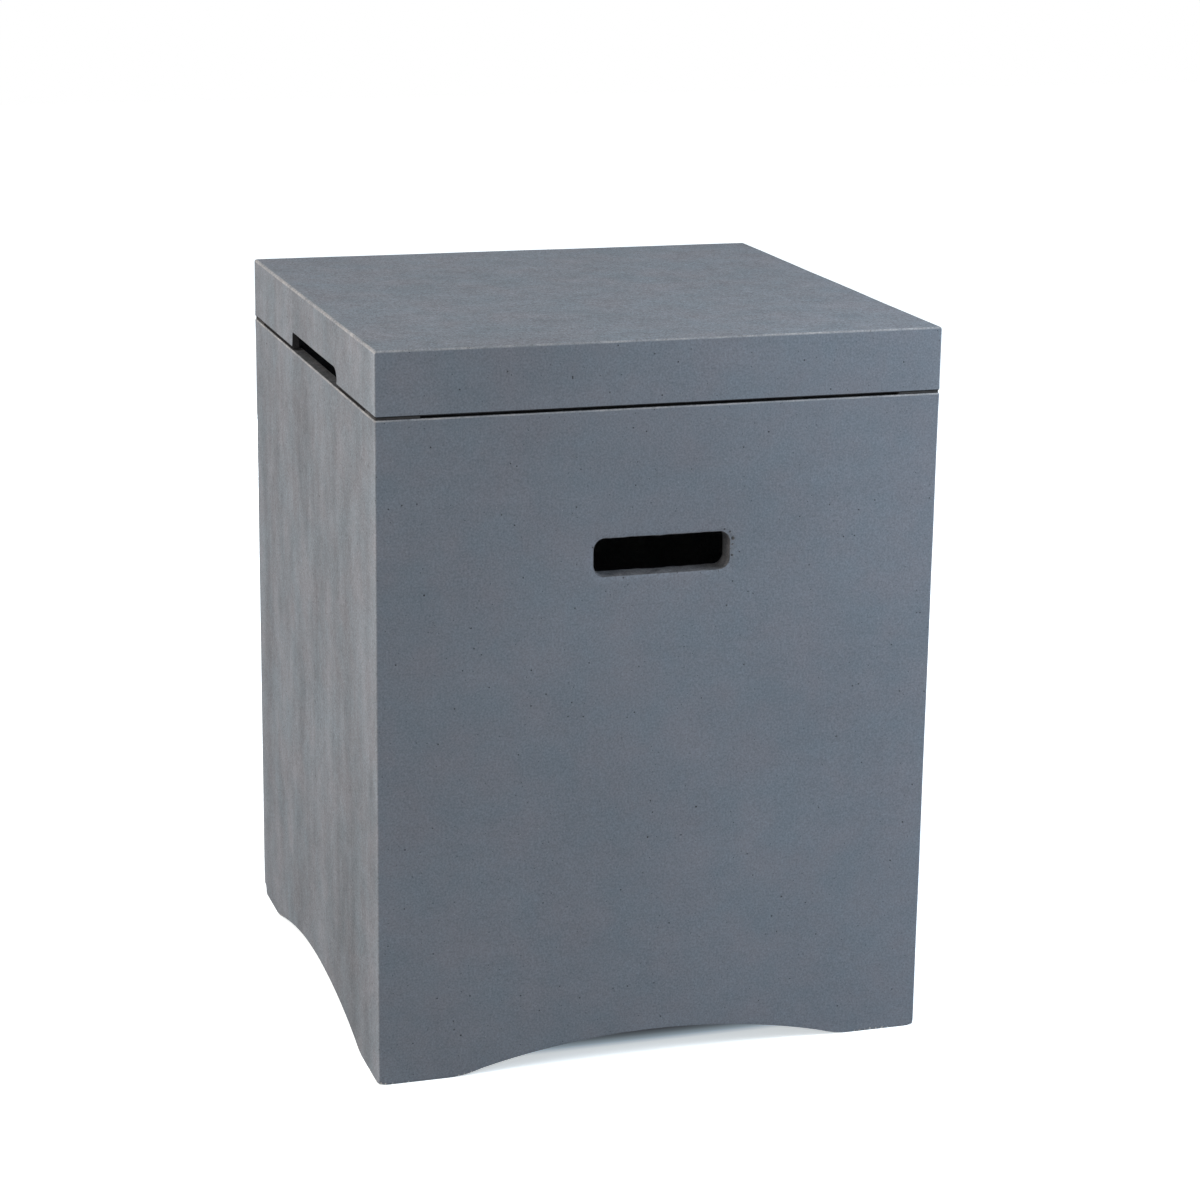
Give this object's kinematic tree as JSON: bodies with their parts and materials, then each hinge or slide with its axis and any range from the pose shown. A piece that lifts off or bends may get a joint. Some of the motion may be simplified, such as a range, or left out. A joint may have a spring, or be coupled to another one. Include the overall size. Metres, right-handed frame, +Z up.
{
  "type": "propane tank cover table",
  "caption": "Square cast-concrete side table: open-ended shell on arched corner feet with hand slots, and a flush lift-off lid that is also the tabletop.",
  "frame": {"origin": "on the ground under the middle of the table", "axes": "+X to the right along the front, +Y to the back, +Z up from the feet to the tabletop"},
  "size_m": [0.45, 0.45, 0.58],
  "materials": {
    "cast_concrete": "matte",
    "black_rubber": "matte",
    "stainless_steel": "satin",
    "brass": "satin"
  },
  "bodies": {
    "body": {"cover_body": "cast_concrete"},
    "lid": {"lid": "cast_concrete", "rest_pad_back_right": "black_rubber", "rest_pad_back_left": "black_rubber", "rest_pad_front_left": "black_rubber", "rest_pad_front_right": "black_rubber", "guide_back_right": "black_rubber", "guide_back_left": "black_rubber", "guide_front_left": "black_rubber", "guide_front_right": "black_rubber", "guide_screws": "stainless_steel", "guide_washers": "stainless_steel", "lid_inserts": "brass"}
  },
  "joints": [
    {"name": "lid_lift", "type": "slide", "parent": "body", "child": "lid", "axis": [0, 0, 1], "range_m": [0, 0.2]}
  ]
}
